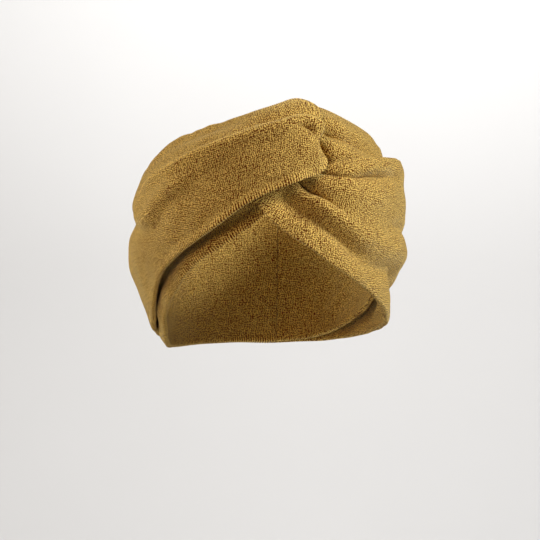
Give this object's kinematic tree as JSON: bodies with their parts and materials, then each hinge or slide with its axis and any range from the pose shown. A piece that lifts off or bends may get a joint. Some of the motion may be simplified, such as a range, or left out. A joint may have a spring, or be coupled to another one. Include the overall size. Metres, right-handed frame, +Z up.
{
  "type": "twist headband",
  "caption": "Wide knitted twist headband in its worn shape: soft strips looped through each other at the front and seamed at the back, open above and below for the head.",
  "frame": {"origin": "middle of the wearer's head at its widest level, where the head fills the band", "axes": "+Z up towards the crown, -Y the way the wearer faces, +X towards the wearer's left"},
  "size_m": [0.174, 0.2099, 0.1576],
  "materials": {
    "knit": "matte mustard sweater knit, soft and slightly fuzzy"
  },
  "bodies": {
    "root": {"left_band": "knit", "right_band": "knit"}
  },
  "joints": []
}
